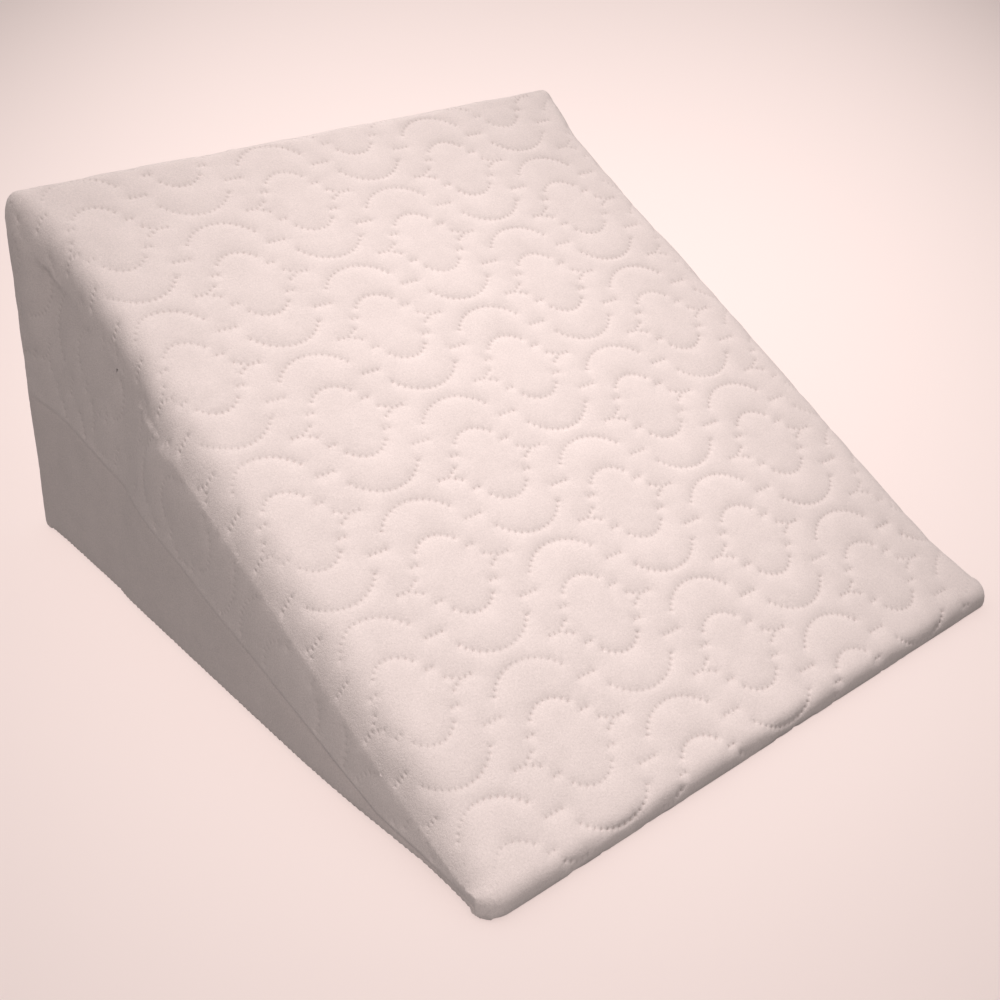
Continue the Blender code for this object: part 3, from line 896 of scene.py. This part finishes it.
def cloth_material(name, colour, settings, brushed, welded):
    """Brushed off-white cloth. Weld marks, where there are any, are a little darker: partly the pressed marks' own
    tone, partly painted shade in their pits.
    """
    material = bpy.data.materials.new(name)
    material.use_nodes = True
    nodes, links = material.node_tree.nodes, material.node_tree.links
    shader = nodes["Principled BSDF"]
    shader.inputs["Roughness"].default_value = settings.roughness
    shader.inputs["Sheen Weight"].default_value = settings.sheen
    shader.inputs["Sheen Roughness"].default_value = 0.5
    shader.inputs["Specular IOR Level"].default_value = 0.25
    place = nodes.new("ShaderNodeTexCoord")
    cloth = nodes.new("ShaderNodeGroup")
    cloth.node_tree = brushed
    cloth.inputs["Fibre Scale"].default_value = settings.fibre_scale
    cloth.inputs["Mottle Scale"].default_value = settings.mottle_scale
    links.new(place.outputs["Object"], cloth.inputs["Place"])
    ramp = nodes.new("ShaderNodeValToRGB")
    ramp.color_ramp.elements[0].position = 0.35
    ramp.color_ramp.elements[1].position = 0.95
    dark = [value * (1 - settings.mottle) for value in colour]
    ramp.color_ramp.elements[0].color = (*dark, 1.0)
    ramp.color_ramp.elements[1].color = (*colour, 1.0)
    links.new(cloth.outputs["Shade"], ramp.inputs["Fac"])
    bump = nodes.new("ShaderNodeBump")
    bump.inputs["Distance"].default_value = settings.fibre_height
    bump.inputs["Strength"].default_value = 1.0
    links.new(cloth.outputs["Height"], bump.inputs["Height"])
    links.new(bump.outputs["Normal"], shader.inputs["Normal"])
    if not welded:
        links.new(ramp.outputs["Color"], shader.inputs["Base Color"])
        return material
    mask = nodes.new("ShaderNodeAttribute")
    mask.attribute_name = "weld"
    # Painted shade in the pits, together with the pressed marks' own tone: the weld mask darkens the colour there
    weld_and_pit_shade_mix = nodes.new("ShaderNodeMix")
    weld_and_pit_shade_mix.data_type = "RGBA"
    weld_and_pit_shade_mix.inputs["B"].default_value = (*[value * settings.weld_tone_and_pit_shade for value in colour], 1.0)
    links.new(mask.outputs["Fac"], weld_and_pit_shade_mix.inputs["Factor"])
    links.new(ramp.outputs["Color"], weld_and_pit_shade_mix.inputs["A"])
    links.new(weld_and_pit_shade_mix.outputs["Result"], shader.inputs["Base Color"])
    return material


class PillowSizes(bpy.types.PropertyGroup):
    """Sizes of the pillow and of its quilting."""

    back_height: FloatProperty(name="Back height", description="Where the slope would meet the back",
                               default=318.5 * MM, unit="LENGTH")
    lip_height: FloatProperty(name="Lip height", description="Height of the thin front edge",
                              default=18 * MM, unit="LENGTH")
    seam_pull: FloatProperty(name="Seam pull", description="How far the side seams are drawn in",
                             default=0.8 * MM, unit="LENGTH")
    column_pitch: FloatProperty(name="Column pitch", description="Distance between columns of medallions",
                                default=89.9 * MM, unit="LENGTH")
    row_pitch: FloatProperty(name="Row pitch", description="Distance between medallions in a column",
                             default=152.1 * MM, unit="LENGTH")
    pattern_turn: FloatProperty(name="Pattern turn", description="How far the quilting is turned on the slope",
                                default=math.radians(-1.35), unit="ROTATION")
    anchor_across: FloatProperty(name="Anchor across", description="Place of one medallion from the middle",
                                 default=-69.5 * MM, unit="LENGTH")
    anchor_up: FloatProperty(name="Anchor up", description="Place of that medallion up the slope",
                             default=294.7 * MM, unit="LENGTH")
    quilt_depth: FloatProperty(name="Quilt depth", description="Depth of the quilting along its rows of marks",
                               default=1.6 * MM, unit="LENGTH")
    quilt_reach: FloatProperty(name="Quilt reach", description="Distance over which the cloth rises beside a row",
                               default=8.5 * MM, unit="LENGTH")
    pit_depth: FloatProperty(name="Pit depth", description="Extra depth of each weld mark",
                             default=1.0 * MM, unit="LENGTH")


class ClothLook(bpy.types.PropertyGroup):
    """Colours and finish of the cloth."""

    quilt_colour: FloatVectorProperty(name="Quilted cloth", description="Colour of the quilted cloth",
                                      default=(0.86, 0.735, 0.70), subtype="COLOR", size=3)
    side_colour: FloatVectorProperty(name="Side cloth", description="Colour of the side panels",
                                     default=(0.83, 0.705, 0.67), subtype="COLOR", size=3)
    base_colour: FloatVectorProperty(name="Base cloth", description="Colour of the base panel",
                                     default=(0.80, 0.68, 0.65), subtype="COLOR", size=3)
    roughness: FloatProperty(name="Roughness", description="Roughness of the cloth", default=0.95)
    sheen: FloatProperty(name="Sheen", description="Soft sheen of the brushed fibres", default=0.15)
    mottle: FloatProperty(name="Mottle", description="Darkening between the fibres", default=0.22)
    # Darkens the weld marks: partly the pressed marks' own tone, partly painted shade in the pits
    weld_tone_and_pit_shade: FloatProperty(name="Weld shade", description="Tone of the pressed marks", default=0.78)
    fibre_scale: FloatProperty(name="Fibre scale", description="Fibres per metre", default=700.0)
    mottle_scale: FloatProperty(name="Mottle scale", description="Soft patches per metre", default=45.0)
    fibre_height: FloatProperty(name="Fibre height", description="Height of the fibres",
                                default=0.4 * MM, unit="LENGTH")


class StageSettings(bpy.types.PropertyGroup):
    """Floor, light and camera."""

    camera_place: FloatVectorProperty(name="Camera place", description="Where the camera stands",
                                      default=(-0.72739, -0.75323, 0.70413), subtype="TRANSLATION", size=3)
    camera_right: FloatVectorProperty(name="Camera right", description="Right of the view",
                                      default=(0.74879, -0.66072, 0.05246), subtype="DIRECTION", size=3)
    camera_up: FloatVectorProperty(name="Camera up", description="Up in the view",
                                   default=(0.31163, 0.42081, 0.85194), subtype="DIRECTION", size=3)
    lens: FloatProperty(name="Lens", description="Focal length in millimetres", default=50.427)
    floor_colour: FloatVectorProperty(name="Floor", description="Colour of the floor",
                                      default=(0.92, 0.785, 0.75), subtype="COLOR", size=3)
    light_colour: FloatVectorProperty(name="Light colour", description="Colour of all the lights",
                                      default=(1.0, 0.965, 0.955), subtype="COLOR", size=3)
    key_target: FloatVectorProperty(name="Key light target", description="Place that the main light points at",
                                    default=(-0.01, -0.03, 0.17), subtype="TRANSLATION", size=3)
    key_way: FloatVectorProperty(name="Key light way", description="Direction from there to the main light",
                                 default=(0.20, 0.21, 0.956), subtype="DIRECTION", size=3)
    key_distance: FloatProperty(name="Key light distance", description="Distance of the main light",
                                default=3.0, unit="LENGTH")
    key_cone: FloatProperty(name="Key light cone", description="Full angle of the main light's soft cone",
                            default=math.radians(26), unit="ROTATION")
    key_power: FloatProperty(name="Key light power", description="Power of the main light in watts", default=378.0)
    key_size: FloatProperty(name="Key light size", description="Radius of the main light",
                            default=0.35, unit="LENGTH")
    side_place: FloatVectorProperty(name="Side light place", description="Where the weak light near the side stands",
                                    default=(-1.0, -0.9, 0.75), subtype="TRANSLATION", size=3)
    side_power: FloatProperty(name="Side light power", description="Power of that light in watts", default=14.0)
    floor_place: FloatVectorProperty(name="Floor light place", description="Where the floor's light stands",
                                     default=(-5.86, -6.0, 4.0), subtype="TRANSLATION", size=3)
    floor_target: FloatVectorProperty(name="Floor light target", description="Place that the floor's light points at",
                                      default=(1.42, 1.5, 0.0), subtype="TRANSLATION", size=3)
    floor_cone: FloatProperty(name="Floor light cone", description="Full angle of the floor light's soft cone",
                              default=0.292, unit="ROTATION")
    floor_power: FloatProperty(name="Floor light power", description="Power of the floor's light in watts",
                               default=8600.0)
    sky_strength: FloatProperty(name="Light from above", description="Strength of the soft light from above",
                                default=0.38)
    ground_strength: FloatProperty(name="Light from below", description="Strength of the soft light from below",
                                   default=0.18)


class PILLOW_OT_cover(bpy.types.Operator):
    """Make the quilted cover with its side and base panels"""

    bl_idname = "pillow.cover"
    bl_label = "Pillow cover"

    def execute(self, context):
        sizes, look = context.scene.pillow_sizes, context.scene.pillow_look
        deselect()
        piece = cover_object(sizes)
        brushed = brushed_group()
        for name, colour, welded in (("quilted_cloth", look.quilt_colour, True),
                                     ("side_cloth", look.side_colour, False),
                                     ("base_cloth", look.base_colour, False)):
            piece.data.materials.append(cloth_material(name, tuple(colour), look, brushed, welded))
        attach(piece, "root")
        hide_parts(NODE)
        return {"FINISHED"}


def soft_lamp(name, place, power, size, colour):
    """Soft round lamp at a place."""
    data = bpy.data.lights.new(name, "SPOT")
    data.spot_size = math.pi
    data.spot_blend = 0.0
    data.energy = power
    data.shadow_soft_size = size
    data.color = colour
    lamp = bpy.data.objects.new(name, data)
    lamp.location = place
    bpy.context.scene.collection.objects.link(lamp)
    return lamp


def soft_cone(lamp, target, cone):
    """Point a lamp at a target, with light that fades out to a cone's edge."""
    lamp.data.spot_size = cone
    lamp.data.spot_blend = 1.0
    lamp.rotation_euler = (lamp.location - target).to_track_quat("Z", "Y").to_euler()


def light_only(lamp, pieces, casting):
    """Let a lamp light some pieces only, with shadows only from the casting ones."""
    lit = bpy.data.collections.new(lamp.name + "_lit")
    for piece in pieces:
        lit.objects.link(piece)
    lamp.light_linking.receiver_collection = lit
    blockers = bpy.data.collections.new(lamp.name + "_blockers")
    for piece in casting:
        blockers.objects.link(piece)
    lamp.light_linking.blocker_collection = blockers


class PILLOW_OT_stage(bpy.types.Operator):
    """Make the floor, the lights and the camera"""

    bl_idname = "pillow.stage"
    bl_label = "Studio stage"

    def execute(self, context):
        stage = context.scene.pillow_stage
        deselect()
        bpy.ops.mesh.primitive_plane_add(size=40.0, location=(0, 0, -0.2 * MM))
        floor = context.object
        floor.name = "studio_floor"
        material = bpy.data.materials.new("studio_floor")
        material.use_nodes = True
        shader = material.node_tree.nodes["Principled BSDF"]
        shader.inputs["Base Color"].default_value = (*stage.floor_colour, 1.0)
        shader.inputs["Roughness"].default_value = 1.0
        shader.inputs["Specular IOR Level"].default_value = 0.0
        floor.data.materials.append(material)
        floor.visible_diffuse = False

        world = bpy.data.worlds.new("studio")
        world.use_nodes = True
        nodes, links = world.node_tree.nodes, world.node_tree.links
        sky = nodes["Background"]
        sky.inputs["Color"].default_value = (*stage.light_colour, 1.0)
        way = nodes.new("ShaderNodeTexCoord")
        height = nodes.new("ShaderNodeSeparateXYZ")
        strength = nodes.new("ShaderNodeMapRange")
        strength.interpolation_type = "SMOOTHSTEP"
        strength.inputs["From Min"].default_value = -0.4
        strength.inputs["From Max"].default_value = 0.4
        strength.inputs["To Min"].default_value = stage.ground_strength
        strength.inputs["To Max"].default_value = stage.sky_strength
        links.new(way.outputs["Generated"], height.inputs["Vector"])
        links.new(height.outputs["Z"], strength.inputs["Value"])
        links.new(strength.outputs["Result"], sky.inputs["Strength"])
        context.scene.world = world

        colour = tuple(stage.light_colour)
        pillow = [thing for thing in context.scene.objects if thing.type == "MESH" and thing is not floor]
        target = Vector(stage.key_target)
        place = target + Vector(stage.key_way).normalized() * stage.key_distance
        key = soft_lamp("key", place, stage.key_power, stage.key_size, colour)
        soft_cone(key, target, stage.key_cone)
        light_only(key, pillow, pillow)
        side = soft_lamp("side_lamp", stage.side_place, stage.side_power, stage.key_size, colour)
        soft_cone(side, target, math.pi)
        light_only(side, pillow, pillow)
        lamp = soft_lamp("floor_lamp", stage.floor_place, stage.floor_power, stage.key_size, colour)
        soft_cone(lamp, Vector(stage.floor_target), stage.floor_cone)
        light_only(lamp, [floor], [floor])

        data = bpy.data.cameras.new("camera")
        data.lens = stage.lens
        data.sensor_width = 36.0
        camera = bpy.data.objects.new("camera", data)
        right, up = Vector(stage.camera_right), Vector(stage.camera_up)
        turn = Matrix((right, up, right.cross(up))).transposed().to_4x4()
        camera.matrix_world = Matrix.Translation(stage.camera_place) @ turn
        context.scene.collection.objects.link(camera)
        context.scene.camera = camera
        context.scene.view_settings.view_transform = "Standard"
        return {"FINISHED"}


class PILLOW_PT_panel(bpy.types.Panel):
    """Lists the pillow's pieces and settings"""

    bl_label = "Wedge Pillow"
    bl_idname = "PILLOW_PT_panel"
    bl_space_type = "VIEW_3D"
    bl_region_type = "UI"
    bl_category = "Pillow"

    def draw(self, context):
        for settings in (context.scene.pillow_sizes, context.scene.pillow_look, context.scene.pillow_stage):
            box = self.layout.box()
            for name in settings.__annotations__:
                box.prop(settings, name)
        self.layout.operator("pillow.cover")
        self.layout.operator("pillow.stage")


CLASSES = (PillowSizes, ClothLook, StageSettings, PILLOW_OT_cover, PILLOW_OT_stage, PILLOW_PT_panel)


def register():
    for cls in CLASSES:
        bpy.utils.register_class(cls)
    bpy.types.Scene.pillow_sizes = PointerProperty(type=PillowSizes)
    bpy.types.Scene.pillow_look = PointerProperty(type=ClothLook)
    bpy.types.Scene.pillow_stage = PointerProperty(type=StageSettings)


def unregister():
    del bpy.types.Scene.pillow_stage
    del bpy.types.Scene.pillow_look
    del bpy.types.Scene.pillow_sizes
    for cls in reversed(CLASSES):
        bpy.utils.unregister_class(cls)


def main():
    register()
    bpy.ops.pillow.cover()
    bpy.ops.pillow.stage()


if __name__ == "__main__":
    main()
